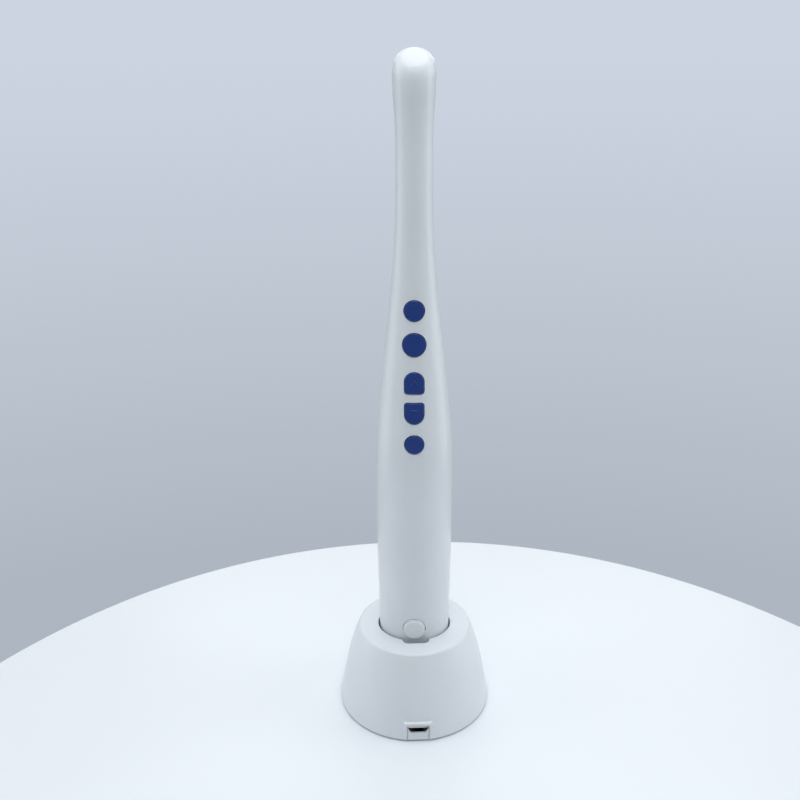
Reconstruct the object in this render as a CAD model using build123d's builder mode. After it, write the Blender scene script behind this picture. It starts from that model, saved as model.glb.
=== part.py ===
from build123d import *
import math
import os

os.makedirs("parts", exist_ok=True)

# Intraoral camera: a slim wireless handset that stands upright in a round charging dock.
# Millimetres. The origin is the middle of the dock's underside, +Z is up, and the keys
# of the handset face -Y.

# Handset form: full widths and depths of its oval sections, and heights above its foot
handset_length = 208.1
tip_rise = 5.1
foot_width = 23.6
foot_depth = 20.8
grip_width = 25.08
grip_depth = 22.2
neck_width = 11.06
neck_depth = 10.0
head_width = 12.66
head_depth = 11.8
brow_width = 12.24
brow_depth = 11.0
grip_low = 64.0
grip_high = 77.0
neck_low = 170.0
neck_high = 180.7
head_level = 195.5
brow_lean = 0.7
body_steps = 20
tip_steps = 5
tip_end_angle = math.radians(80)

# Handset housing
shell_wall = 1.4
seam_gap = 0.06
lip_thickness = 0.6
lip_height = 0.7
lip_play = 0.05
rib_thickness = 1.2
rib_bite = 0.3
rib_width = 7.0
battery_rib_heights = [14.0, 33.0, 52.0]
board_rib_heights = [80.0, 100.0, 119.0, 140.5]

# Keys: the outline of each opening, its height above the foot and which way its arch faces
freeze_height = 134.8
freeze_width = 6.6
quad_height = 124.5
quad_width = 7.5
arrow_width = 6.4
arrow_tall = 7.1
arrow_corner = 1.1
up_height = 112.7
down_height = 103.1
delete_height = 93.0
delete_width = 6.4
delete_shift = 0.1
key_gap = 0.2
key_proud = 0.35
key_edge = 0.3
key_flange = 0.4
key_flange_thickness = 0.6
key_play = 0.15
key_skin = 1.2
key_rim = 0.7
key_travel = 0.4
stem_diameter = 2.4

# Power button: a wide tier with a smaller raised face
power_height = 25.5
power_opening = 7.8
power_face = 6.5
power_tier_proud = 0.4
power_face_proud = 0.9
power_edge = 0.2
power_travel = 0.3

# Main board and the switches on it
board_thickness = 1.0
board_play = 0.05
board_low = 78.0
board_high = 142.0
board_width = 17.0
board_neck_width = 9.4
board_shoulder_low = 98.0
board_shoulder_high = 126.0
switch_size = 4.2
switch_height = 1.35
switch_edge = 0.25
plunger_diameter = 2.0
plunger_proud = 0.7
plunger_play = 0.05
switch_floor = 0.2
processor_size = 7.0
processor_thickness = 0.9
processor_height = 107.5
shield_width = 12.0
shield_tall = 13.0
shield_thickness = 2.0
shield_height = 90.0
shield_edge = 0.4
antenna_width = 3.2
antenna_tall = 6.0
antenna_thickness = 1.2
antenna_height = 134.0

# Power board behind the power button
power_board_thickness = 0.8
power_board_play = 0.2
power_switch_height = 0.8
power_plunger_proud = 0.45
power_board_width = 10.0
power_board_tall = 15.0
power_post_diameter = 2.4
power_post_play = 0.3

# Battery
battery_diameter = 14.0
battery_length = 50.0
battery_low = 9.0
battery_edge = 0.8
battery_nub_diameter = 5.5
battery_nub_height = 0.8
battery_play = 0.1
battery_seat = 0.25

# Camera head
lens_level = 195.5
lens_seat_depth = 4.5
lens_seat_low = 6.2
lens_seat_high = 5.6
lens_seat_ramp = 2.5
lens_seat_wall = 1.2
bezel_diameter = 8.4
bezel_proud = 0.4
bezel_sleeve = 6.9
bezel_play = 0.05
bezel_wall = 0.4
bezel_back = 2.5
bezel_edge = 0.25
window_thickness = 0.8
window_recess = 0.1
barrel_diameter = 3.4
lens_play = 0.05
lens_diameter = 2.0
lens_thickness = 0.9
lens_crown = 0.3
led_board_thickness = 0.6
led_board_depth = 2.7
led_count = 6
led_long = 1.0
led_wide = 0.7
led_thickness = 0.5
sensor_board_depth = 1.8
sensor_board_thickness = 0.6
sensor_board_width = 7.6
sensor_board_tall = 10.0
sensor_board_corner = 1.5
sensor_size = 4.2
sensor_thickness = 0.9
flex_width = 4.0
flex_thickness = 0.2
flex_overlap = 3.5
flex_bend_radius = 40.0

# End cap and charging contacts
end_cap_flange = 1.6
end_cap_spigot = 3.0
end_cap_play = 0.1
end_cap_edge = 0.8
contact_spacing = 8.0
contact_diameter = 3.2
contact_thickness = 0.5
contact_shank = 1.6
contact_play = 0.05

# Dock
dock_turn = 3.0
dock_height = 29.4
dock_lift = 0.7
dock_rim_radius = 26.36
dock_low_radius = 24.96
dock_low_level = 8.8
dock_mid_radius = 22.8
dock_mid_level = 19.0
dock_ring_radius = 19.25
dock_wall = 2.2
dock_edge = 1.0
well_clearance = 0.55
well_wall = 1.5
well_floor_level = 8.0
well_floor = 1.5
well_edge = 0.25
notch_width = 9.0
notch_corner = 2.0
notch_reach = 12.75
notch_depth = 6.0

# Dock underside
plate_thickness = 1.0
plate_play = 0.35
plate_pad = 6.4
plate_pad_height = 0.8
screw_count = 4
screw_circle = 18.5
screw_boss = 5.2
screw_boss_height = 20.0
screw_diameter = 2.2
screw_length = 7.0
screw_head = 4.2
screw_head_height = 1.0
screw_head_recess = 0.1
screw_play = 0.05
foot_circle = 19.0
rubber_foot_diameter = 7.0
rubber_foot_sink = 0.3
ballast_inner = 15.6
ballast_outer = 22.6
ballast_thickness = 4.4
ballast_sweep = 200.0
ballast_play = 0.25

# Power inlet and dock board
port_face = 26.15
port_width = 9.4
port_top = 7.3
port_edge = 0.25
slot_width = 7.3
slot_top = 6.2
tab_play = 0.2
tab_setback = 0.1
tab_root = 1.0
tab_thickness = 0.7
tab_cheek_top = 5.0
tab_middle_top = 3.4
tab_middle_width = 4.9
dock_board_thickness = 0.8
dock_board_standoff = 0.05
dock_board_width = 15.0
dock_board_front = 22.2
dock_board_back = 6.0
usb_setback = 0.9
usb_length = 5.4
usb_width = 7.0
usb_floor_width = 5.3
usb_height = 2.65
usb_side = 1.2
usb_sheet = 0.25
tongue_width = 3.9
tongue_thickness = 0.6
tongue_length = 3.6
tongue_drop = 0.45

# Spring contacts of the dock
barrel_outer = 2.2
barrel_bore = 1.7
barrel_mouth_bore = 1.3
barrel_height = 4.6
barrel_lip = 0.5
barrel_floor = 0.4
barrel_play = 0.1
pin_diameter = 1.2
pin_collar = 1.6
pin_collar_height = 0.8
pin_edge = 0.3
pin_rest_drop = 0.8

# Levels and places that follow from the sizes above
handset_foot = well_floor_level
brow_level = handset_length - tip_rise
plate_top = dock_lift + plate_thickness
dock_board_top = plate_top + dock_board_standoff + dock_board_thickness
board_front = board_play + board_thickness
switch_face = board_front + switch_height
plunger_tip = switch_face + plunger_proud
battery_centre = foot_depth / 2 - shell_wall - battery_diameter / 2 - battery_seat
power_board_back = battery_diameter / 2 - battery_centre + power_board_play
power_board_front = power_board_back + power_board_thickness
power_switch_face = power_board_front + power_switch_height
power_plunger_tip = power_switch_face + power_plunger_proud
power_post_reach = (power_opening + power_post_diameter) / 2 + key_flange + power_post_play

waypoints = [
    (0, foot_width, foot_depth),
    (grip_low, grip_width, grip_depth),
    (grip_high, grip_width, grip_depth),
    (neck_low, neck_width, neck_depth),
    (neck_high, neck_width, neck_depth),
    (head_level, head_width, head_depth),
    (brow_level, brow_width, brow_depth),
]

lens_middle = handset_foot + lens_level
bezel_bore = bezel_sleeve - 2 * bezel_wall
window_face = lens_seat_depth + bezel_proud - window_recess
crown_radius = ((lens_diameter / 2) ** 2 + lens_crown**2) / (2 * lens_crown)
barrel_front = window_face - window_thickness - bezel_play
sensor_face = sensor_thickness - sensor_board_depth
plate_radius = dock_rim_radius - dock_wall - plate_play
port_back = dock_rim_radius - dock_wall
slot_back = port_back - dock_wall
tab_face = port_face - tab_setback
usb_face = port_face - usb_setback
collar_base = dock_board_top + barrel_height - barrel_lip - pin_collar_height - pin_rest_drop

dock_flat = Plane(
    origin=(0, 0, 0),
    x_dir=(math.cos(math.radians(dock_turn)), math.sin(math.radians(dock_turn)), 0),
    z_dir=(0, 0, 1),
)
dock_upright = Plane(origin=(0, 0, 0), x_dir=dock_flat.x_dir, z_dir=-dock_flat.y_dir)
dock_under = Plane(origin=(0, 0, dock_lift), x_dir=dock_flat.x_dir, z_dir=(0, 0, -1))


def eased(start, end, share):
    """A size that leaves its start and meets its end gently, for a share from 0 to 1."""
    return start + (end - start) * (1 - math.cos(math.pi * share)) / 2


def oval_at(height):
    """Half-width and half-depth of the handset's oval section at a height above its foot."""
    for low, high in zip(waypoints, waypoints[1:]):
        if height <= high[0]:
            share = (height - low[0]) / (high[0] - low[0])
            return eased(low[1], high[1], share) / 2, eased(low[2], high[2], share) / 2
    return brow_width / 2, brow_depth / 2


def handset_form(inset):
    """The handset's closed form, drawn in by an inset all round: an oval loft and its tip."""
    with BuildPart() as form:
        for step in range(body_steps + 1):
            height = brow_level * step / body_steps
            half_width, half_depth = oval_at(height)
            with BuildSketch(Plane.XY.offset(handset_foot + height)):
                Ellipse(half_width - inset, half_depth - inset)
        loft()
        for step in range(tip_steps + 1):
            angle = tip_end_angle * step / tip_steps
            rise = (tip_rise - inset) * math.sin(angle) / math.sin(tip_end_angle)
            half_width = (brow_width / 2 - inset) * math.cos(angle)
            back = (brow_depth / 2 - inset) * math.cos(angle)
            front = back * (1 - brow_lean * math.sin(angle))
            with BuildSketch(Plane.XY.offset(handset_foot + brow_level + rise)):
                with Locations((0, (back - front) / 2)):
                    Ellipse(half_width, (front + back) / 2)
        loft()
    return form.part


def face_on(depth, height):
    """A plane that faces forwards (-Y), a depth in front of the seam, at a height."""
    return Plane(origin=(0, -depth, handset_foot + height), x_dir=(1, 0, 0), z_dir=(0, -1, 0))


def back_on(depth, height):
    """A plane that faces backwards (+Y), a depth behind the seam, at a height."""
    return Plane(origin=(0, depth, handset_foot + height), x_dir=(1, 0, 0), z_dir=(0, 1, 0))


def shallowest(height, reach, inset):
    """Least depth of the front of the form, drawn in by an inset, within a reach of a height."""
    depths = []
    for turn in range(0, 360, 15):
        half_width, half_depth = oval_at(height + reach * math.sin(math.radians(turn)))
        across = reach * math.cos(math.radians(turn)) / (half_width - inset)
        depths.append((half_depth - inset) * math.sqrt(1 - across**2))
    return min(depths)


def key_outline(width, tall, arch, growth):
    """Outline of a key's opening, grown all round: round, or an arch that faces up or down."""
    radius = width / 2 + growth
    with Locations((0, arch * (tall - width) / 2)):
        Circle(radius)
    if arch:
        straight = tall - width / 2 + growth
        with Locations((0, arch * (straight - tall - 2 * growth) / 2)):
            Rectangle(2 * radius, straight)
        fillet(vertices().group_by(Axis.Y)[min(arch, 0)], arrow_corner + growth)


well_half_width = oval_at(dock_height - well_floor_level)[0] + well_clearance
well_half_depth = oval_at(dock_height - well_floor_level)[1] + well_clearance

outer_form = handset_form(0)
cavity_form = handset_form(shell_wall)
proud_form = handset_form(-key_proud)
lip_form = handset_form(shell_wall - lip_thickness)
lip_room_form = handset_form(shell_wall - lip_thickness - lip_play)

keys = [
    ("freeze_button", freeze_height, freeze_width, freeze_width, 0, 0),
    ("quad_button", quad_height, quad_width, quad_width, 0, 0),
    ("up_button", up_height, arrow_width, arrow_tall, 1, 0),
    ("down_button", down_height, arrow_width, arrow_tall, -1, 0),
    ("delete_button", delete_height, delete_width, delete_width, 0, delete_shift),
]

# Front half of the housing: a moulded shell with an opening for every key, a lip that
# enters the rear half along the seam, and two posts that hold the power board
with BuildPart() as seam_lip:
    add(lip_form)
    add(cavity_form, mode=Mode.SUBTRACT)
    split(bisect_by=Plane.XZ.offset(-lip_height), keep=Keep.TOP)
    split(bisect_by=Plane.XZ.offset(lip_height), keep=Keep.BOTTOM)

with BuildPart() as front_shell:
    add(outer_form)
    add(cavity_form, mode=Mode.SUBTRACT)
    split(bisect_by=Plane.XZ.offset(seam_gap / 2), keep=Keep.TOP)
    add(seam_lip.part)
    split(bisect_by=Plane.XY.offset(handset_foot + end_cap_flange), keep=Keep.TOP)
    for name, height, width, tall, arch, shift in keys:
        with BuildSketch(face_on(plunger_tip, height)):
            key_outline(width, tall, arch, 0)
        extrude(amount=grip_depth, mode=Mode.SUBTRACT)
    with BuildSketch(face_on(power_plunger_tip, power_height)):
        Circle(power_opening / 2)
    extrude(amount=grip_depth, mode=Mode.SUBTRACT)
    for side in (-1, 1):
        post_height = power_height + side * power_post_reach
        with BuildSketch(face_on(power_board_front, post_height)):
            Circle(power_post_diameter / 2)
        extrude(amount=oval_at(post_height)[1] - shell_wall / 2 - power_board_front)
front_shell.part.label = "front_shell"
export_step(front_shell.part, "parts/front_shell.step")

# Rear half of the housing: a shell with a flat lens seat in its head, ribs that cradle the
# battery and ribs that carry the main board
with BuildPart() as rear_cavity:
    add(cavity_form)
    with BuildSketch(back_on(lens_seat_depth - lens_seat_wall, lens_level)):
        Rectangle(head_width, 2 * (lens_seat_low + lens_seat_ramp))
    extrude(amount=head_depth, mode=Mode.SUBTRACT)

with BuildPart() as lip_room:
    add(lip_room_form)
    split(bisect_by=Plane.XZ.offset(-lip_height - lip_play), keep=Keep.TOP)

with BuildPart() as rear_shell:
    add(outer_form)
    add(rear_cavity.part, mode=Mode.SUBTRACT)
    split(bisect_by=Plane.XZ.offset(-seam_gap / 2), keep=Keep.BOTTOM)
    add(lip_room.part, mode=Mode.SUBTRACT)
    split(bisect_by=Plane.XY.offset(handset_foot + end_cap_flange), keep=Keep.TOP)
    with BuildSketch(Plane.YZ) as seat_scoop:
        seat_low = handset_foot + lens_level - lens_seat_low
        seat_high = handset_foot + lens_level + lens_seat_high
        with BuildLine():
            Polyline(
                (lens_seat_depth, seat_low),
                (lens_seat_depth, seat_high),
                (lens_seat_depth + lens_seat_ramp, seat_high + lens_seat_ramp),
                (lens_seat_depth + lens_seat_ramp, seat_low - lens_seat_ramp),
                close=True,
            )
        make_face()
        fillet(seat_scoop.vertices().group_by(Axis.X)[0], lens_seat_ramp)
    extrude(amount=head_width, both=True, mode=Mode.SUBTRACT)
    with BuildSketch(back_on(0, lens_level)):
        Circle(bezel_sleeve / 2 + bezel_play)
    extrude(amount=head_depth, mode=Mode.SUBTRACT)
    for height in battery_rib_heights:
        half_width, half_depth = oval_at(height)
        with BuildSketch(Plane.XY.offset(handset_foot + height)):
            Ellipse(half_width - shell_wall + rib_bite, half_depth - shell_wall + rib_bite)
            with Locations((0, lip_height + 2 * lip_play + grip_depth / 2)):
                Rectangle(grip_width, grip_depth, mode=Mode.INTERSECT)
            with Locations((0, battery_centre)):
                Circle(battery_diameter / 2 + battery_play, mode=Mode.SUBTRACT)
        extrude(amount=rib_thickness)
    for height in board_rib_heights:
        half_width, half_depth = oval_at(height)
        with BuildSketch(Plane.XY.offset(handset_foot + height)):
            Ellipse(half_width - shell_wall + rib_bite, half_depth - shell_wall + rib_bite)
            with Locations((0, grip_depth / 2)):
                Rectangle(rib_width, grip_depth, mode=Mode.INTERSECT)
        extrude(amount=rib_thickness)
rear_shell.part.label = "rear_shell"
export_step(rear_shell.part, "parts/rear_shell.step")

# End cap: the plug that closes the foot, with stepped holes for the two charging contacts
with BuildPart() as end_cap:
    with BuildSketch(Plane.XY.offset(handset_foot)):
        Ellipse(foot_width / 2, foot_depth / 2)
    extrude(amount=end_cap_flange)
    fillet(end_cap.faces().sort_by(Axis.Z)[0].edges(), end_cap_edge)
    with BuildSketch(Plane.XY.offset(handset_foot + end_cap_flange)):
        spigot_inset = shell_wall + end_cap_play
        Ellipse(foot_width / 2 - spigot_inset, foot_depth / 2 - spigot_inset)
    extrude(amount=end_cap_spigot)
    with Locations(Plane(origin=(0, 0, handset_foot), z_dir=(0, 0, -1))):
        with GridLocations(contact_spacing, 0, 2, 1):
            CounterBoreHole(
                contact_shank / 2 + contact_play,
                contact_diameter / 2 + contact_play,
                contact_thickness,
            )
end_cap.part.label = "end_cap"
export_step(end_cap.part, "parts/end_cap.step")

# Charging contacts: two flat-headed rivets, flush with the foot
with BuildPart() as charge_contacts:
    with BuildSketch(Plane.XY.offset(handset_foot)):
        with GridLocations(contact_spacing, 0, 2, 1):
            Circle(contact_diameter / 2)
    extrude(amount=contact_thickness)
    with BuildSketch(Plane.XY.offset(handset_foot + contact_thickness)):
        with GridLocations(contact_spacing, 0, 2, 1):
            Circle(contact_shank / 2)
    extrude(amount=end_cap_flange + end_cap_spigot)
charge_contacts.part.label = "charge_contacts"
export_step(charge_contacts.part, "parts/charge_contacts.step")


def key_cap(height, width, tall, arch, shift):
    """A moulded key: its face follows the housing, a flange stops behind the wall, and a
    stem inside its hollow back reaches the switch plunger."""
    reach = tall / 2 + key_flange
    flange_face = shallowest(height, reach, shell_wall) - key_play
    flange_back = flange_face - key_flange_thickness
    hollow_top = shallowest(height, width / 2, -key_proud) - key_skin
    with BuildPart() as cap:
        with BuildSketch(face_on(flange_back, height)):
            with Locations((shift, -shift / 2)):
                key_outline(width, tall, arch, -key_gap)
        extrude(amount=grip_depth)
        add(proud_form, mode=Mode.INTERSECT)
        fillet(cap.faces().sort_by(Axis.Y)[0].edges(), key_edge)
        with BuildSketch(face_on(flange_back, height)):
            key_outline(width, tall, arch, key_flange)
        extrude(amount=key_flange_thickness)
        with BuildSketch(face_on(flange_back, height)):
            key_outline(width, tall, arch, -key_gap - key_rim)
        extrude(amount=hollow_top - flange_back, mode=Mode.SUBTRACT)
        with BuildSketch(face_on(plunger_tip, height)):
            Circle(stem_diameter / 2)
        extrude(amount=hollow_top - plunger_tip)
    return cap.part


def switch_plunger(tip, height, proud, housing, travel):
    """A switch's plunger: a short pin, its foot inside the switch housing."""
    with BuildPart() as plunger:
        with BuildSketch(face_on(tip, height)):
            Circle(plunger_diameter / 2)
        extrude(amount=-(proud + housing - switch_floor - travel - plunger_play))
    return plunger.part


# Five keys, each a blue moulded cap on its own switch plunger
for name, height, width, tall, arch, shift in keys:
    cap = key_cap(height, width, tall, arch, shift)
    cap.label = name
    export_step(cap, f"parts/{name}.step")
    plunger = switch_plunger(plunger_tip, height, plunger_proud, switch_height, key_travel)
    plunger.label = name.replace("button", "plunger")
    export_step(plunger, f"parts/{plunger.label}.step")

# Power button: a round button in two tiers, with a flange behind the wall
power_surface = oval_at(power_height)[1]
power_flange_face = shallowest(power_height, power_opening / 2 + key_flange, shell_wall) - key_play
with BuildPart() as power_button:
    with BuildSketch(face_on(power_flange_face, power_height)):
        Circle(power_opening / 2 - key_gap)
    extrude(amount=power_surface + power_tier_proud - power_flange_face)
    fillet(power_button.faces().sort_by(Axis.Y)[0].edges(), power_edge)
    with BuildSketch(face_on(power_surface, power_height)):
        Circle(power_face / 2)
    extrude(amount=power_face_proud)
    fillet(power_button.faces().sort_by(Axis.Y)[0].edges(), power_edge)
    with BuildSketch(face_on(power_flange_face, power_height)):
        Circle(power_opening / 2 + key_flange)
    extrude(amount=-key_flange_thickness)
    with BuildSketch(face_on(power_plunger_tip, power_height)):
        Circle(stem_diameter / 2)
    extrude(amount=power_flange_face - power_plunger_tip)
power_button.part.label = "power_button"
export_step(power_button.part, "parts/power_button.step")

power_plunger = switch_plunger(
    power_plunger_tip, power_height, power_plunger_proud, power_switch_height, power_travel
)
power_plunger.label = "power_plunger"
export_step(power_plunger, "parts/power_plunger.step")


# Switch housings: square blocks with a round hole for the plunger, five on the main board
# and one on the power board
with BuildPart() as key_switches:
    with BuildSketch(face_on(board_front, 0)):
        with Locations([(0, height) for name, height, width, tall, arch, shift in keys]):
            RectangleRounded(switch_size, switch_size, switch_edge)
    extrude(amount=switch_height)
    with BuildSketch(face_on(board_front + switch_floor, 0)):
        with Locations([(0, height) for name, height, width, tall, arch, shift in keys]):
            Circle(plunger_diameter / 2 + plunger_play)
    extrude(amount=switch_height, mode=Mode.SUBTRACT)
key_switches.part.label = "key_switches"
export_step(key_switches.part, "parts/key_switches.step")

with BuildPart() as power_switch:
    with BuildSketch(face_on(power_board_front, power_height)):
        RectangleRounded(switch_size, switch_size, switch_edge)
    extrude(amount=power_switch_height)
    with BuildSketch(face_on(power_board_front + switch_floor, power_height)):
        Circle(plunger_diameter / 2 + plunger_play)
    extrude(amount=power_switch_height, mode=Mode.SUBTRACT)
power_switch.part.label = "power_switch"
export_step(power_switch.part, "parts/power_switch.step")

# Main board: wide in the grip, narrow where the handset tapers
with BuildPart() as main_board:
    with BuildSketch(face_on(board_play, 0)):
        with BuildLine():
            Polyline(
                (-board_width / 2, board_low),
                (-board_width / 2, board_shoulder_low),
                (-board_neck_width / 2, board_shoulder_high),
                (-board_neck_width / 2, board_high),
                (board_neck_width / 2, board_high),
                (board_neck_width / 2, board_shoulder_high),
                (board_width / 2, board_shoulder_low),
                (board_width / 2, board_low),
                close=True,
            )
        make_face()
    extrude(amount=board_thickness)
main_board.part.label = "main_board"
export_step(main_board.part, "parts/main_board.step")

# Chips on the back of the main board: processor, radio can and antenna block
with BuildPart() as processor:
    with BuildSketch(back_on(-board_play, processor_height)):
        Rectangle(processor_size, processor_size)
    extrude(amount=processor_thickness)
processor.part.label = "processor"
export_step(processor.part, "parts/processor.step")

with BuildPart() as radio_shield:
    with BuildSketch(back_on(-board_play, shield_height)):
        Rectangle(shield_width, shield_tall)
    extrude(amount=shield_thickness)
    fillet(radio_shield.edges().filter_by(Axis.Y), shield_edge)
    fillet(radio_shield.faces().sort_by(Axis.Y)[-1].edges(), shield_edge)
radio_shield.part.label = "radio_shield"
export_step(radio_shield.part, "parts/radio_shield.step")

with BuildPart() as antenna:
    with BuildSketch(back_on(-board_play, antenna_height)):
        Rectangle(antenna_width, antenna_tall)
    extrude(amount=antenna_thickness)
antenna.part.label = "antenna"
export_step(antenna.part, "parts/antenna.step")

# Power board between the battery and the power button
with BuildPart() as power_board:
    with BuildSketch(face_on(power_board_back, power_height)):
        RectangleRounded(power_board_width, power_board_tall, switch_edge)
    extrude(amount=power_board_thickness)
power_board.part.label = "power_board"
export_step(power_board.part, "parts/power_board.step")

# Battery: one sealed cylindrical cell, its positive end up
with BuildPart() as battery:
    with BuildSketch(Plane.XY.offset(handset_foot + battery_low)):
        with Locations((0, battery_centre)):
            Circle(battery_diameter / 2)
    extrude(amount=battery_length - battery_nub_height)
    fillet(battery.edges().filter_by(GeomType.CIRCLE), battery_edge)
    with BuildSketch(battery.faces().sort_by(Axis.Z)[-1]):
        Circle(battery_nub_diameter / 2)
    extrude(amount=battery_nub_height)
battery.part.label = "battery"
export_step(battery.part, "parts/battery.step")

# Lens bezel: a flanged ring in the lens seat
with BuildPart() as lens_bezel:
    with BuildSketch(back_on(bezel_back, lens_level)):
        Circle(bezel_sleeve / 2)
    extrude(amount=lens_seat_depth - bezel_back)
    with BuildSketch(back_on(lens_seat_depth, lens_level)):
        Circle(bezel_diameter / 2)
    extrude(amount=bezel_proud)
    fillet(lens_bezel.faces().sort_by(Axis.Y)[-1].edges(), bezel_edge)
    with BuildSketch(back_on(bezel_back, lens_level)):
        Circle(bezel_bore / 2)
    extrude(amount=head_depth, mode=Mode.SUBTRACT)
lens_bezel.part.label = "lens_bezel"
export_step(lens_bezel.part, "parts/lens_bezel.step")

# Lens window: a clear disc that closes the bezel
with BuildPart() as lens_window:
    with BuildSketch(back_on(window_face, lens_level)):
        Circle(bezel_bore / 2 - bezel_play)
    extrude(amount=-window_thickness)
lens_window.part.label = "lens_window"
export_step(lens_window.part, "parts/lens_window.step")

# Lens barrel: a black tube from the camera chip to the window
with BuildPart() as lens_barrel:
    with BuildSketch(back_on(sensor_face, lens_level)):
        Circle(barrel_diameter / 2)
    extrude(amount=barrel_front - sensor_face)
    with BuildSketch(back_on(barrel_front, lens_level)):
        Circle(lens_diameter / 2 + lens_play)
    extrude(amount=-lens_thickness, mode=Mode.SUBTRACT)
lens_barrel.part.label = "lens_barrel"
export_step(lens_barrel.part, "parts/lens_barrel.step")

# Lens element: a small glass lens with a crowned face, in the mouth of the barrel
with BuildPart() as lens_element:
    with BuildSketch(Plane.YZ):
        lens_rim = lens_middle + lens_diameter / 2
        lens_back = barrel_front - lens_thickness
        with BuildLine():
            RadiusArc((barrel_front, lens_middle), (barrel_front - lens_crown, lens_rim), crown_radius)
            Polyline(
                (barrel_front - lens_crown, lens_rim),
                (lens_back, lens_rim),
                (lens_back, lens_middle),
                (barrel_front, lens_middle),
            )
        make_face()
    revolve(axis=Axis((0, 0, lens_middle), (0, 1, 0)))
lens_element.part.label = "lens_element"
export_step(lens_element.part, "parts/lens_element.step")

# Ring board and its six white lamps, round the barrel inside the bezel
with BuildPart() as led_board:
    with BuildSketch(back_on(led_board_depth, lens_level)):
        Circle(bezel_bore / 2 - bezel_play)
        Circle(barrel_diameter / 2 + lens_play, mode=Mode.SUBTRACT)
    extrude(amount=led_board_thickness)
led_board.part.label = "led_board"
export_step(led_board.part, "parts/led_board.step")

with BuildPart() as white_leds:
    with BuildSketch(back_on(led_board_depth + led_board_thickness, lens_level)):
        with PolarLocations((bezel_bore + barrel_diameter) / 4, led_count):
            Rectangle(led_wide, led_long)
    extrude(amount=led_thickness)
white_leds.part.label = "white_leds"
export_step(white_leds.part, "parts/white_leds.step")

# Camera chip and the small board that carries it
with BuildPart() as sensor_board:
    with BuildSketch(back_on(-sensor_board_depth, lens_level)):
        RectangleRounded(sensor_board_width, sensor_board_tall, sensor_board_corner)
    extrude(amount=-sensor_board_thickness)
sensor_board.part.label = "sensor_board"
export_step(sensor_board.part, "parts/sensor_board.step")

with BuildPart() as image_sensor:
    with BuildSketch(back_on(-sensor_board_depth, lens_level)):
        Rectangle(sensor_size, sensor_size)
    extrude(amount=sensor_thickness)
image_sensor.part.label = "image_sensor"
export_step(image_sensor.part, "parts/image_sensor.step")

# Flex cable: a flat ribbon that runs up the neck between the two boards
with BuildPart() as flex_cable:
    with BuildSketch(Plane.YZ):
        lower_lie = -board_front - flex_thickness / 2
        upper_lie = -sensor_board_depth - sensor_board_thickness - flex_thickness / 2
        with BuildLine():
            FilletPolyline(
                (lower_lie, handset_foot + board_high - flex_overlap),
                (lower_lie, handset_foot + board_high + flex_overlap),
                (upper_lie, handset_foot + neck_high),
                (upper_lie, handset_foot + lens_level),
                radius=flex_bend_radius,
            )
        trace(line_width=flex_thickness)
    extrude(amount=flex_width / 2, both=True)
flex_cable.part.label = "flex_cable"
export_step(flex_cable.part, "parts/flex_cable.step")


def notch_outline(growth):
    """The rounded notch that opens the well's rim in front of the power button."""
    tall = notch_reach + growth
    with Locations((0, -tall / 2)):
        RectangleRounded(notch_width + 2 * growth, tall, notch_corner + growth)


# Port boss: a small block with a flat face that frames the power inlet
with BuildPart() as port_boss:
    with BuildSketch(dock_flat.offset(dock_lift)):
        with Locations((0, -(port_face + port_back) / 2)):
            Rectangle(port_width, port_face - port_back)
    extrude(amount=port_top - dock_lift)
    fillet(port_boss.edges().filter_by(Axis.Z).group_by(Axis.Y)[0], port_edge)
    fillet(port_boss.faces().sort_by(Axis.Z)[-1].edges().group_by(Axis.Y)[0], port_edge)

# Dock shell: dome, flat ring, oval well with its notch, port boss and screw bosses, in one
# moulding
with BuildPart() as base_shell:
    for inset, mode in ((0, Mode.ADD), (dock_wall, Mode.SUBTRACT)):
        with BuildSketch(dock_upright):
            with BuildLine():
                side = Spline(
                    (dock_rim_radius - inset, dock_lift),
                    (dock_low_radius - inset, dock_low_level),
                    (dock_mid_radius - inset, dock_mid_level),
                    (dock_ring_radius - inset, dock_height - inset),
                )
                Polyline(side @ 1, (0, dock_height - inset), (0, dock_lift), side @ 0)
            make_face()
        revolve(axis=Axis.Z, mode=mode)
    fillet(base_shell.faces().sort_by(Axis.Z)[-1].edges(), dock_edge)
    add(port_boss.part)
    with BuildSketch(dock_flat.offset(well_floor_level - well_floor)):
        Ellipse(well_half_width + well_wall, well_half_depth + well_wall)
    extrude(amount=dock_height - dock_wall / 2 - well_floor_level + well_floor)
    with BuildSketch(dock_flat.offset(dock_height - notch_depth - well_wall)):
        notch_outline(well_wall)
    extrude(amount=notch_depth)
    with BuildSketch(dock_flat.offset(plate_top + plate_pad_height)):
        with PolarLocations(screw_circle, screw_count, start_angle=45):
            Circle(screw_boss / 2)
    extrude(amount=screw_boss_height)
    with BuildSketch(dock_flat.offset(well_floor_level)):
        Ellipse(well_half_width, well_half_depth)
    extrude(amount=dock_height, mode=Mode.SUBTRACT)
    with BuildSketch(dock_flat.offset(dock_height - notch_depth)):
        notch_outline(0)
    extrude(amount=dock_height, mode=Mode.SUBTRACT)
    with BuildSketch(dock_flat.offset(dock_lift)):
        with Locations((0, -port_face)):
            Rectangle(slot_width, 2 * (port_face - slot_back))
    extrude(amount=slot_top - dock_lift, mode=Mode.SUBTRACT)
    with BuildSketch(dock_flat.offset(plate_top)):
        with PolarLocations(screw_circle, screw_count, start_angle=45):
            Circle(screw_diameter / 2 + screw_play)
    extrude(amount=screw_length + screw_play, mode=Mode.SUBTRACT)
    with BuildSketch(dock_flat):
        with GridLocations(contact_spacing, 0, 2, 1):
            Circle(barrel_outer / 2 + barrel_play)
    extrude(amount=well_floor_level, mode=Mode.SUBTRACT)
    fillet(base_shell.faces().sort_by(Axis.Z)[-1].inner_wires()[0].edges(), well_edge)
base_shell.part.label = "base_shell"
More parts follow.
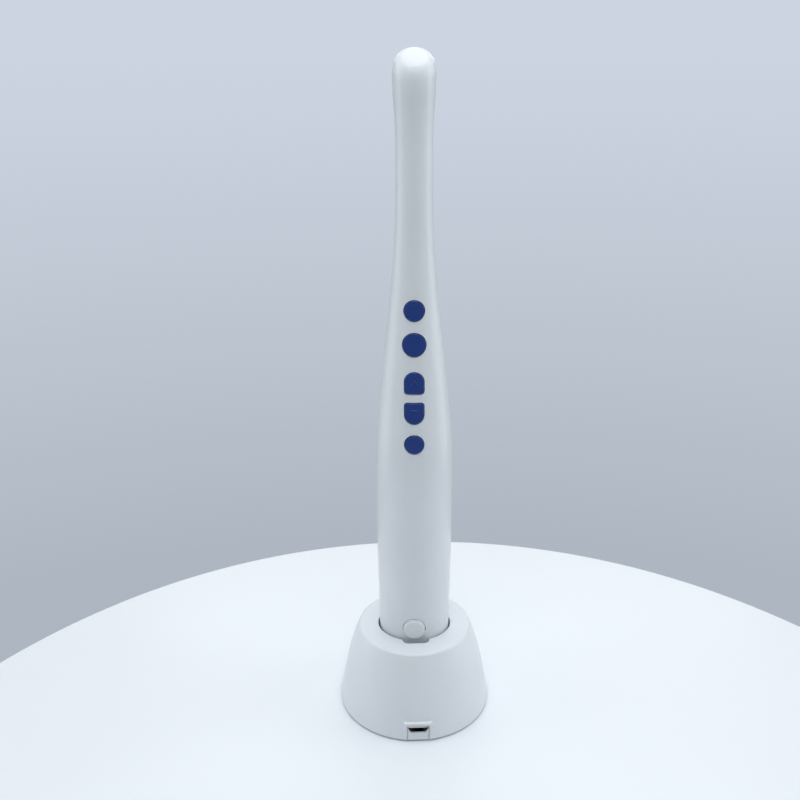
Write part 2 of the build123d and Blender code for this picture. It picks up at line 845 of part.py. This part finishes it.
export_step(base_shell.part, "parts/base_shell.step")

# Base plate: the disc that closes the dock, with raised pads at the screws, pockets for
# the feet and an upright tab that fills the inlet's slot below the connector
with BuildPart() as base_plate:
    with BuildSketch(dock_flat.offset(dock_lift)):
        Circle(plate_radius)
    extrude(amount=plate_thickness)
    with BuildSketch(dock_flat.offset(dock_lift)):
        with Locations((0, -(tab_face + plate_radius - tab_root) / 2)):
            Rectangle(slot_width - 2 * tab_play, tab_face - plate_radius + tab_root)
    extrude(amount=plate_thickness)
    with BuildSketch(dock_upright.offset(tab_face)):
        with BuildLine():
            cheek = slot_width / 2 - tab_play
            Polyline(
                (-cheek, dock_lift),
                (-cheek, tab_cheek_top),
                (-tab_middle_width / 2, tab_middle_top),
                (tab_middle_width / 2, tab_middle_top),
                (cheek, tab_cheek_top),
                (cheek, dock_lift),
                close=True,
            )
        make_face()
    extrude(amount=-tab_thickness)
    with BuildSketch(dock_flat.offset(plate_top)):
        with PolarLocations(screw_circle, screw_count, start_angle=45):
            Circle(plate_pad / 2)
    extrude(amount=plate_pad_height)
    with Locations(dock_under):
        with PolarLocations(screw_circle, screw_count, start_angle=45):
            CounterSinkHole(
                screw_diameter / 2 + screw_play,
                screw_head / 2 + screw_head_recess,
                depth=plate_thickness + plate_pad_height,
            )
        with PolarLocations(foot_circle, screw_count):
            Hole(rubber_foot_diameter / 2, depth=rubber_foot_sink)
base_plate.part.label = "base_plate"
export_step(base_plate.part, "parts/base_plate.step")

# Base screws: four countersunk screws driven up into the dock's bosses
with BuildPart() as base_screws:
    with Locations(dock_under.offset(-screw_head_recess)):
        with PolarLocations(screw_circle, screw_count, start_angle=45):
            with Locations((0, 0, -screw_head_height / 2)):
                Cone(screw_diameter / 2, screw_head / 2, screw_head_height)
            with Locations((0, 0, -screw_length / 2)):
                Cylinder(screw_diameter / 2, screw_length)
base_screws.part.label = "base_screws"
export_step(base_screws.part, "parts/base_screws.step")

# Rubber feet: four discs glued into the plate's pockets
with BuildPart() as rubber_feet:
    with BuildSketch(dock_flat):
        with PolarLocations(foot_circle, screw_count):
            Circle(rubber_foot_diameter / 2)
    extrude(amount=dock_lift + rubber_foot_sink)
rubber_feet.part.label = "rubber_feet"
export_step(rubber_feet.part, "parts/rubber_feet.step")

# Ballast: a steel arc on the plate, round the back of the well, that the screw bosses pass
with BuildPart() as ballast_weight:
    with BuildSketch(dock_flat.offset(plate_top)):
        with BuildLine():
            outer_arc = CenterArc((0, 0), ballast_outer, 90 - ballast_sweep / 2, ballast_sweep)
            inner_arc = CenterArc((0, 0), ballast_inner, 90 - ballast_sweep / 2, ballast_sweep)
            Line(outer_arc @ 0, inner_arc @ 0)
            Line(outer_arc @ 1, inner_arc @ 1)
        make_face()
        with PolarLocations(screw_circle, screw_count, start_angle=45):
            Circle(plate_pad / 2 + ballast_play, mode=Mode.SUBTRACT)
    extrude(amount=ballast_thickness)
ballast_weight.part.label = "ballast_weight"
export_step(ballast_weight.part, "parts/ballast_weight.step")

# Dock board, flat on the plate below the well
with BuildPart() as dock_board:
    with BuildSketch(dock_flat.offset(plate_top + dock_board_standoff)):
        with Locations((0, (dock_board_back - dock_board_front) / 2)):
            Rectangle(dock_board_width, dock_board_front + dock_board_back)
    extrude(amount=dock_board_thickness)
dock_board.part.label = "dock_board"
export_step(dock_board.part, "parts/dock_board.step")


# Power inlet: a folded metal shell on the board's front edge, and the tongue inside it
with BuildPart() as usb_shell:
    for inset, mode in ((0, Mode.ADD), (usb_sheet, Mode.SUBTRACT)):
        half_width = usb_width / 2 - inset
        half_floor = usb_floor_width / 2 - inset / 2
        usb_roof = dock_board_top + usb_height
        with BuildSketch(dock_upright.offset(usb_face)):
            with BuildLine():
                Polyline(
                    (-half_width, usb_roof - inset),
                    (-half_width, usb_roof - usb_side),
                    (-half_floor, dock_board_top + inset),
                    (half_floor, dock_board_top + inset),
                    (half_width, usb_roof - usb_side),
                    (half_width, usb_roof - inset),
                    close=True,
                )
            make_face()
        extrude(amount=inset - usb_length, mode=mode)
usb_shell.part.label = "usb_shell"
export_step(usb_shell.part, "parts/usb_shell.step")

with BuildPart() as usb_tongue:
    with BuildSketch(dock_upright.offset(usb_face - usb_length + usb_sheet)):
        with Locations((0, dock_board_top + usb_height - usb_sheet - tongue_drop)):
            Rectangle(tongue_width, tongue_thickness, align=(Align.CENTER, Align.MAX))
    extrude(amount=tongue_length)
usb_tongue.part.label = "usb_tongue"
export_step(usb_tongue.part, "parts/usb_tongue.step")

# Barrels of the two spring contacts: tubes on the board with a narrowed mouth
with BuildPart() as contact_barrels:
    with BuildSketch(dock_flat.offset(dock_board_top)):
        with GridLocations(contact_spacing, 0, 2, 1):
            Circle(barrel_outer / 2)
    extrude(amount=barrel_height)
    with BuildSketch(dock_flat.offset(dock_board_top + barrel_floor)):
        with GridLocations(contact_spacing, 0, 2, 1):
            Circle(barrel_bore / 2)
    extrude(amount=barrel_height - barrel_floor - barrel_lip, mode=Mode.SUBTRACT)
    with BuildSketch(dock_flat.offset(dock_board_top + barrel_floor)):
        with GridLocations(contact_spacing, 0, 2, 1):
            Circle(barrel_mouth_bore / 2)
    extrude(amount=barrel_height, mode=Mode.SUBTRACT)
contact_barrels.part.label = "contact_barrels"
export_step(contact_barrels.part, "parts/contact_barrels.step")

# Spring contact pins: pressed down by the handset's weight, a collar inside each barrel
for side, name in ((-1, "contact_pin_left"), (1, "contact_pin_right")):
    with BuildPart() as contact_pin:
        with BuildSketch(dock_flat.offset(collar_base)):
            with Locations((side * contact_spacing / 2, 0)):
                Circle(pin_collar / 2)
        extrude(amount=pin_collar_height)
        with BuildSketch(dock_flat.offset(collar_base)):
            with Locations((side * contact_spacing / 2, 0)):
                Circle(pin_diameter / 2)
        extrude(amount=handset_foot - collar_base)
        fillet(contact_pin.faces().sort_by(Axis.Z)[-1].edges(), pin_edge)
    contact_pin.part.label = name
    export_step(contact_pin.part, f"parts/{name}.step")
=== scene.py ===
import bpy
import bmesh
import math
from mathutils import Matrix, Vector


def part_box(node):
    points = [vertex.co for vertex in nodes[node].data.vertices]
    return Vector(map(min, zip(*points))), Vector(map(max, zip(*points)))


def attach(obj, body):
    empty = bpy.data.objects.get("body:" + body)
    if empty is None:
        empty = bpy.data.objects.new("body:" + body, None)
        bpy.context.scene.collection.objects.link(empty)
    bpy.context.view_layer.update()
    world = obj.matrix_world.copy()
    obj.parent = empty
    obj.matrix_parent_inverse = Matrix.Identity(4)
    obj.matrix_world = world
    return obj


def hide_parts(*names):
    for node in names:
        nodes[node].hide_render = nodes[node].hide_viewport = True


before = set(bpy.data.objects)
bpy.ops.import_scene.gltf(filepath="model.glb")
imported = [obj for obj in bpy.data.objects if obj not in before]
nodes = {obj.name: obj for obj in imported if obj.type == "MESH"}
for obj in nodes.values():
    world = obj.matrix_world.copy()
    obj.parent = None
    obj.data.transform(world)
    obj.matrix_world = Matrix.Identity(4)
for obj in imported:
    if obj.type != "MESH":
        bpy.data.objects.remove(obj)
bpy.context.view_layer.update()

# Camera, at the viewing angle of the photograph: a little below the tip's height, looking
# down by about twenty degrees, turned a little aside and rolled by a third of a degree.
eye = Vector((0.0, -0.25494, 0.20415))
looking_down = math.radians(19.854)
turned_left = math.radians(1.02)
rolled = math.radians(-0.35)
camera_data = bpy.data.cameras.new("view_camera")
camera_data.sensor_width = 36.0
camera_data.lens = 38.25
camera_data.clip_start = 0.01
camera_data.clip_end = 20.0
view_camera = bpy.data.objects.new("view_camera", camera_data)
bpy.context.scene.collection.objects.link(view_camera)
view_camera.matrix_world = (
    Matrix.Translation(eye)
    @ Matrix.Rotation(turned_left, 4, "Z")
    @ Matrix.Rotation(math.pi / 2 - looking_down, 4, "X")
    @ Matrix.Rotation(rolled, 4, "Z")
)
bpy.context.scene.camera = view_camera
bpy.context.scene.view_settings.view_transform = "Standard"

# Surroundings: a cool grey studio that is paler above and darker towards the table, and a
# soft even light that comes from it.
studio = bpy.data.worlds.new("studio")
studio.use_nodes = True
bpy.context.scene.world = studio
sky = studio.node_tree
sky.nodes.clear()
direction = sky.nodes.new("ShaderNodeTexCoord")
split_direction = sky.nodes.new("ShaderNodeSeparateXYZ")
sky.links.new(direction.outputs["Generated"], split_direction.inputs["Vector"])
shades = sky.nodes.new("ShaderNodeValToRGB")
shades.color_ramp.elements[0].position = 0.25
shades.color_ramp.elements[0].color = (0.42, 0.47, 0.53, 1)
shades.color_ramp.elements[1].position = 0.52
shades.color_ramp.elements[1].color = (0.60, 0.66, 0.75, 1)
rise = sky.nodes.new("ShaderNodeMapRange")
rise.inputs["From Min"].default_value = -1
rise.inputs["From Max"].default_value = 1
sky.links.new(split_direction.outputs["Z"], rise.inputs["Value"])
sky.links.new(rise.outputs["Result"], shades.inputs["Fac"])
seen_sky = sky.nodes.new("ShaderNodeBackground")
sky.links.new(shades.outputs["Color"], seen_sky.inputs["Color"])
light_sky = sky.nodes.new("ShaderNodeBackground")
light_sky.inputs["Color"].default_value = (0.92, 0.96, 1.0, 1)
light_sky.inputs["Strength"].default_value = 0.34
ray = sky.nodes.new("ShaderNodeLightPath")
seen = sky.nodes.new("ShaderNodeMath")
seen.operation = "MAXIMUM"
sky.links.new(ray.outputs["Is Camera Ray"], seen.inputs[0])
sky.links.new(ray.outputs["Is Transmission Ray"], seen.inputs[1])
choice = sky.nodes.new("ShaderNodeMixShader")
sky.links.new(seen.outputs["Value"], choice.inputs["Fac"])
sky.links.new(light_sky.outputs["Background"], choice.inputs[1])
sky.links.new(seen_sky.outputs["Background"], choice.inputs[2])
sky_out = sky.nodes.new("ShaderNodeOutputWorld")
sky.links.new(choice.outputs["Shader"], sky_out.inputs["Surface"])

# Lamps: a soft panel overhead, one high behind and one at each side, so that the edges of
# the handset are brighter than its middle, and a small one above the viewer that reaches the
# head and the slope of the dock's top ring.
lamp_target = Vector((0, 0, 0.12))
for name, place, width, tall, power in (
    ("panel_overhead", Vector((0.02, 0.00, 0.60)), 0.50, 0.45, 1.6),
    ("panel_behind", Vector((0.05, 0.65, 0.50)), 0.80, 0.35, 1.0),
    ("panel_left", Vector((-0.60, 0.02, 0.22)), 0.42, 0.80, 1.3),
    ("panel_right", Vector((0.60, 0.02, 0.22)), 0.42, 0.80, 1.4),
    ("panel_front", Vector((0.0, -0.20, 0.46)), 0.26, 0.16, 0.27),
):
    lamp_data = bpy.data.lights.new(name, "AREA")
    lamp_data.shape = "RECTANGLE"
    lamp_data.size = width
    lamp_data.size_y = tall
    lamp_data.energy = power
    lamp_data.color = (0.94, 0.975, 1.0)
    lamp = bpy.data.objects.new(name, lamp_data)
    bpy.context.scene.collection.objects.link(lamp)
    lamp.location = place
    lamp.rotation_euler = (lamp_target - place).to_track_quat("-Z", "Y").to_euler()

# Table: a round white tabletop with a soft edge, slightly glossy, that the dock stands on.
table_radius = 0.195
table_middle = Vector((0.008, -0.085, 0.0))
table_thickness = 0.006
rim_round = 0.0018
table_mesh = bmesh.new()
bmesh.ops.create_cone(
    table_mesh,
    cap_ends=True,
    segments=256,
    radius1=table_radius,
    radius2=table_radius,
    depth=table_thickness,
    matrix=Matrix.Translation(table_middle - Vector((0, 0, table_thickness / 2))),
)
table_rim = [edge for edge in table_mesh.edges if all(vert.co.z > -0.001 for vert in edge.verts)]
bmesh.ops.bevel(
    table_mesh,
    geom=table_rim,
    offset=rim_round,
    segments=5,
    profile=0.5,
    affect="EDGES",
    material=-1,
)
for face in table_mesh.faces:
    face.smooth = len(face.verts) < 5
table_data = bpy.data.meshes.new("table")
table_mesh.to_mesh(table_data)
table_mesh.free()
table = bpy.data.objects.new("table", table_data)
bpy.context.scene.collection.objects.link(table)
lacquer = bpy.data.materials.new("table_lacquer")
lacquer.use_nodes = True
lacquer_shader = lacquer.node_tree.nodes["Principled BSDF"]
lacquer_shader.inputs["Base Color"].default_value = (0.88, 0.91, 0.95, 1)
lacquer_shader.inputs["Roughness"].default_value = 0.34
table_data.materials.append(lacquer)


# Dock shell and the plate that closes it: white ABS, with the fine eroded grain of the
# mould. The plate is held by four screws from below.
def moulded_plastic(name, colour, roughness, grain_scale, grain_depth):
    """Moulded plastic: a fine eroded grain, slow changes of gloss and a hint of tone."""
    plastic = bpy.data.materials.new(name)
    plastic.use_nodes = True
    tree = plastic.node_tree
    shader = tree.nodes["Principled BSDF"]
    place = tree.nodes.new("ShaderNodeTexCoord")
    grain = tree.nodes.new("ShaderNodeTexNoise")
    grain.inputs["Scale"].default_value = grain_scale
    grain.inputs["Detail"].default_value = 3.0
    tree.links.new(place.outputs["Object"], grain.inputs["Vector"])
    bump = tree.nodes.new("ShaderNodeBump")
    bump.inputs["Strength"].default_value = 0.35
    bump.inputs["Distance"].default_value = grain_depth
    tree.links.new(grain.outputs["Fac"], bump.inputs["Height"])
    tree.links.new(bump.outputs["Normal"], shader.inputs["Normal"])
    flow = tree.nodes.new("ShaderNodeTexNoise")
    flow.inputs["Scale"].default_value = 45.0
    flow.inputs["Detail"].default_value = 2.0
    tree.links.new(place.outputs["Object"], flow.inputs["Vector"])
    tone = tree.nodes.new("ShaderNodeValToRGB")
    tone.color_ramp.elements[0].position = 0.3
    tone.color_ramp.elements[0].color = [part * 0.97 for part in colour] + [1]
    tone.color_ramp.elements[1].position = 0.7
    tone.color_ramp.elements[1].color = list(colour) + [1]
    tree.links.new(flow.outputs["Fac"], tone.inputs["Fac"])
    tree.links.new(tone.outputs["Color"], shader.inputs["Base Color"])
    gloss = tree.nodes.new("ShaderNodeMapRange")
    gloss.inputs["To Min"].default_value = roughness * 0.92
    gloss.inputs["To Max"].default_value = roughness * 1.08
    tree.links.new(flow.outputs["Fac"], gloss.inputs["Value"])
    tree.links.new(gloss.outputs["Result"], shader.inputs["Roughness"])
    return plastic


def clad(node_names, material):
    """Gives CAD nodes a material in place of the plain one that they come with."""
    for node_name in node_names:
        for node_slot in nodes[node_name].material_slots:
            node_slot.material = material


dock_abs = moulded_plastic("dock_abs", (0.79, 0.83, 0.87), 0.32, 2200.0, 0.00002)
clad(["base_shell", "base_plate"], dock_abs)

# Rubber feet: four soft grey-black discs, glued into the pockets of the plate.
foot_rubber = moulded_plastic("foot_rubber", (0.035, 0.036, 0.038), 0.75, 1500.0, 0.00004)
clad(["rubber_feet"], foot_rubber)


# Screws, ballast and connector shell: plated steel. The ballast is a stamped arc that lies
# on the plate; the shell is folded from sheet round its tongue.
def worked_metal(name, colour, roughness, streak_scale, streak_stretch):
    """Plated or ground metal: fine streaks across the surface and small changes of gloss."""
    metal = bpy.data.materials.new(name)
    metal.use_nodes = True
    tree = metal.node_tree
    shader = tree.nodes["Principled BSDF"]
    shader.inputs["Metallic"].default_value = 1.0
    place = tree.nodes.new("ShaderNodeTexCoord")
    stretch = tree.nodes.new("ShaderNodeMapping")
    stretch.inputs["Scale"].default_value = streak_stretch
    tree.links.new(place.outputs["Object"], stretch.inputs["Vector"])
    streaks = tree.nodes.new("ShaderNodeTexNoise")
    streaks.inputs["Scale"].default_value = streak_scale
    streaks.inputs["Detail"].default_value = 4.0
    tree.links.new(stretch.outputs["Vector"], streaks.inputs["Vector"])
    tone = tree.nodes.new("ShaderNodeValToRGB")
    tone.color_ramp.elements[0].color = [part * 0.88 for part in colour] + [1]
    tone.color_ramp.elements[1].color = list(colour) + [1]
    tree.links.new(streaks.outputs["Fac"], tone.inputs["Fac"])
    tree.links.new(tone.outputs["Color"], shader.inputs["Base Color"])
    gloss = tree.nodes.new("ShaderNodeMapRange")
    gloss.inputs["To Min"].default_value = roughness * 0.8
    gloss.inputs["To Max"].default_value = roughness * 1.25
    tree.links.new(streaks.outputs["Fac"], gloss.inputs["Value"])
    tree.links.new(gloss.outputs["Result"], shader.inputs["Roughness"])
    return metal


nickel_plate = worked_metal("nickel_plate", (0.80, 0.79, 0.77), 0.24, 900.0, (1, 1, 1))
clad(["base_screws", "usb_shell", "radio_shield"], nickel_plate)
raw_steel = worked_metal("raw_steel", (0.50, 0.50, 0.51), 0.42, 500.0, (1, 6, 1))
clad(["ballast_weight"], raw_steel)

# Charging contacts: gold-plated brass, two rivets in the handset's foot and two sprung pins
# in turned barrels on the dock's board.
gold_plate = worked_metal("gold_plate", (0.88, 0.64, 0.28), 0.2, 1400.0, (1, 1, 1))
clad(["charge_contacts", "contact_barrels", "contact_pin_left", "contact_pin_right"], gold_plate)


# Circuit boards: glass fibre under a green mask, with fine copper tracks that show through.
# The ring board behind the lens window has a white mask, to throw its light forwards.
def masked_board(name, mask_colour, track_colour, track_scale):
    """A circuit board: tracks that show faintly through a glossy mask."""
    board = bpy.data.materials.new(name)
    board.use_nodes = True
    tree = board.node_tree
    shader = tree.nodes["Principled BSDF"]
    shader.inputs["Roughness"].default_value = 0.3
    place = tree.nodes.new("ShaderNodeTexCoord")
    tracks = tree.nodes.new("ShaderNodeTexBrick")
    tracks.inputs["Scale"].default_value = track_scale
    tracks.inputs["Color1"].default_value = (*mask_colour, 1)
    tracks.inputs["Color2"].default_value = (*[part * 0.9 for part in mask_colour], 1)
    tracks.inputs["Mortar"].default_value = (*track_colour, 1)
    tracks.inputs["Mortar Size"].default_value = 0.06
    tree.links.new(place.outputs["Object"], tracks.inputs["Vector"])
    tree.links.new(tracks.outputs["Color"], shader.inputs["Base Color"])
    return board


green_board = masked_board("green_board", (0.012, 0.12, 0.05), (0.03, 0.2, 0.08), 350.0)
clad(["dock_board", "main_board", "power_board", "sensor_board"], green_board)
white_board = masked_board("white_board", (0.78, 0.79, 0.78), (0.66, 0.67, 0.66), 600.0)
clad(["led_board"], white_board)

# Black moulded parts on the boards: switch housings, chips, the connector's tongue and the
# lens barrel, all in a dull filled plastic.
dull_black = moulded_plastic("dull_black", (0.018, 0.018, 0.02), 0.55, 3000.0, 0.00001)
clad(["key_switches", "power_switch", "processor", "image_sensor"], dull_black)
clad(["usb_tongue", "lens_barrel"], dull_black)

# Switch plungers and the antenna: pale unpainted nylon and ceramic.
pale_ceramic = moulded_plastic("pale_ceramic", (0.72, 0.70, 0.64), 0.5, 2500.0, 0.00001)
plungers = [name for name in nodes if name.endswith("_plunger")]
clad(plungers + ["antenna"], pale_ceramic)

# Battery: a steel can in a shrunk film sleeve, which wrinkles a little at its ends.
shrunk_sleeve = moulded_plastic("shrunk_sleeve", (0.05, 0.16, 0.34), 0.28, 260.0, 0.0001)
clad(["battery"], shrunk_sleeve)

# Flex cable: amber polyimide film over copper, from the main board up to the head.
amber_film = moulded_plastic("amber_film", (0.42, 0.16, 0.03), 0.25, 800.0, 0.00001)
clad(["flex_cable"], amber_film)

# End cap: white ABS like the two moulded halves that it closes, with a smoother, glossier
# face than the dock. It is pressed into the foot of the housing.
white_abs = moulded_plastic("white_abs", (0.77, 0.81, 0.85), 0.24, 2600.0, 0.00001)
clad(["end_cap"], white_abs)

# Shell halves: the CAD halves with the head drawn in sideways, to the slimmer head that the
# photograph shows. The lens seat in the middle and everything below the neck stay as they are.
drawn_in = (
    (0.0, 1.0),
    (0.185, 1.0),
    (0.192, 0.965),
    (0.197, 0.955),
    (0.203, 0.925),
    (0.207, 0.90),
    (0.2105, 0.965),
    (0.2135, 1.0),
    (0.217, 1.0),
)
seat_side = 0.0035
full_side = 0.0062
crease_angle = math.radians(15)
merge_distance = 0.000002
for shell_name in ("front_shell", "rear_shell"):
    half = bmesh.new()
    half.from_mesh(nodes[shell_name].data)
    bmesh.ops.remove_doubles(half, verts=half.verts[:], dist=merge_distance)
    for vert in half.verts:
        for (low_level, low_share), (high_level, high_share) in zip(drawn_in, drawn_in[1:]):
            if low_level <= vert.co.z < high_level:
                part_way = (vert.co.z - low_level) / (high_level - low_level)
                part_way = part_way * part_way * (3 - 2 * part_way)
                share = low_share + (high_share - low_share) * part_way
                outward = min(max((abs(vert.co.x) - seat_side) / (full_side - seat_side), 0), 1)
                vert.co.x *= 1 - (1 - share) * outward * outward * (3 - 2 * outward)
                break
    for edge in half.edges:
        edge.smooth = edge.calc_face_angle(0) < crease_angle
    for face in half.faces:
        face.smooth = True
    half_data = bpy.data.meshes.new("slim_" + shell_name)
    half.to_mesh(half_data)
    half.free()
    half_data.materials.append(white_abs)
    slim_half = bpy.data.objects.new("slim_" + shell_name, half_data)
    bpy.context.scene.collection.objects.link(slim_half)
    even_shading = slim_half.modifiers.new("even_shading", "WEIGHTED_NORMAL")
    even_shading.keep_sharp = True
    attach(slim_half, "camera_in_dock")
    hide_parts(shell_name)

# Keys: caps of deep blue ABS with a satin face and softly rounded edges.
key_blue = moulded_plastic("key_blue", (0.006, 0.038, 0.22), 0.22, 3200.0, 0.000012)
clad(["freeze_button", "quad_button", "up_button", "down_button", "delete_button"], key_blue)

# Key marks: a raised chevron on the upper arched key and a raised dash on the lower one, fine
# round beads moulded with the cap and half sunk in its face.
bead_radius = 0.00021
steps_per_stroke = 8
chevron = ((-0.00105, -0.0007), (0.0, 0.0010), (0.00105, -0.0007))
dash = ((-0.0011, 0.0011), (0.0011, 0.0011))
for mark_name, key_name, key_body, strokes in (
    ("up_chevron", "up_button", "up_key", chevron),
    ("down_dash", "down_button", "down_key", dash),
):
    lowest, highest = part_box(key_name)
    key_middle = (lowest[2] + highest[2]) / 2
    marks = bpy.data.curves.new(mark_name, "CURVE")
    marks.dimensions = "3D"
    marks.bevel_depth = bead_radius
    marks.bevel_resolution = 4
    marks.use_fill_caps = True
    bead = marks.splines.new("POLY")
    path_points = [
        Vector(strokes[leg]).lerp(Vector(strokes[leg + 1]), step / steps_per_stroke)
        for leg in range(len(strokes) - 1)
        for step in range(steps_per_stroke + (leg == len(strokes) - 2))
    ]
    bead.points.add(len(path_points) - 1)
    for bead_point, (across, above) in zip(bead.points, path_points):
        start = Vector((across, lowest[1] - 0.001, key_middle + above))
        _, on_face, _, _ = nodes[key_name].ray_cast(start, Vector((0, 1, 0)))
        bead_point.co = (*on_face, 1)
    mark = bpy.data.objects.new(mark_name, marks)
    bpy.context.scene.collection.objects.link(mark)
    marks.materials.append(key_blue)
    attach(mark, key_body)

# Power button: a white moulded button in two tiers, a little smoother than the housing.
button_white = moulded_plastic("button_white", (0.79, 0.82, 0.85), 0.28, 3000.0, 0.00001)
clad(["power_button"], button_white)

# Lens bezel: a turned and bead-blasted ring, pressed into the back of the head.
blasted_steel = worked_metal("blasted_steel", (0.56, 0.57, 0.59), 0.36, 2600.0, (1, 1, 1))
clad(["lens_bezel"], blasted_steel)


# Lens window and lens: clear optical glass. The window is glued into the bezel; the lens
# has a faint coating.
def optical_glass(name, tint, roughness, coat):
    """Polished glass with a thin coating."""
    glass = bpy.data.materials.new(name)
    glass.use_nodes = True
    shader = glass.node_tree.nodes["Principled BSDF"]
    shader.inputs["Base Color"].default_value = (*tint, 1)
    shader.inputs["Roughness"].default_value = roughness
    shader.inputs["IOR"].default_value = 1.5
    shader.inputs["Transmission Weight"].default_value = 1.0
    shader.inputs["Coat Weight"].default_value = coat
    place = glass.node_tree.nodes.new("ShaderNodeTexCoord")
    waves = glass.node_tree.nodes.new("ShaderNodeTexNoise")
    waves.inputs["Scale"].default_value = 300.0
    glass.node_tree.links.new(place.outputs["Object"], waves.inputs["Vector"])
    polish = glass.node_tree.nodes.new("ShaderNodeBump")
    polish.inputs["Strength"].default_value = 0.02
    polish.inputs["Distance"].default_value = 0.00001
    glass.node_tree.links.new(waves.outputs["Fac"], polish.inputs["Height"])
    glass.node_tree.links.new(polish.outputs["Normal"], shader.inputs["Normal"])
    return glass


clear_glass = optical_glass("clear_glass", (0.96, 0.98, 0.98), 0.02, 0.0)
clad(["lens_window"], clear_glass)
coated_glass = optical_glass("coated_glass", (0.55, 0.62, 0.80), 0.03, 0.5)
clad(["lens_element"], coated_glass)

# White lamps: small chips under a yellow phosphor, soldered round the lens barrel.
phosphor = moulded_plastic("phosphor", (0.85, 0.62, 0.12), 0.4, 3000.0, 0.00001)
clad(["white_leds"], phosphor)
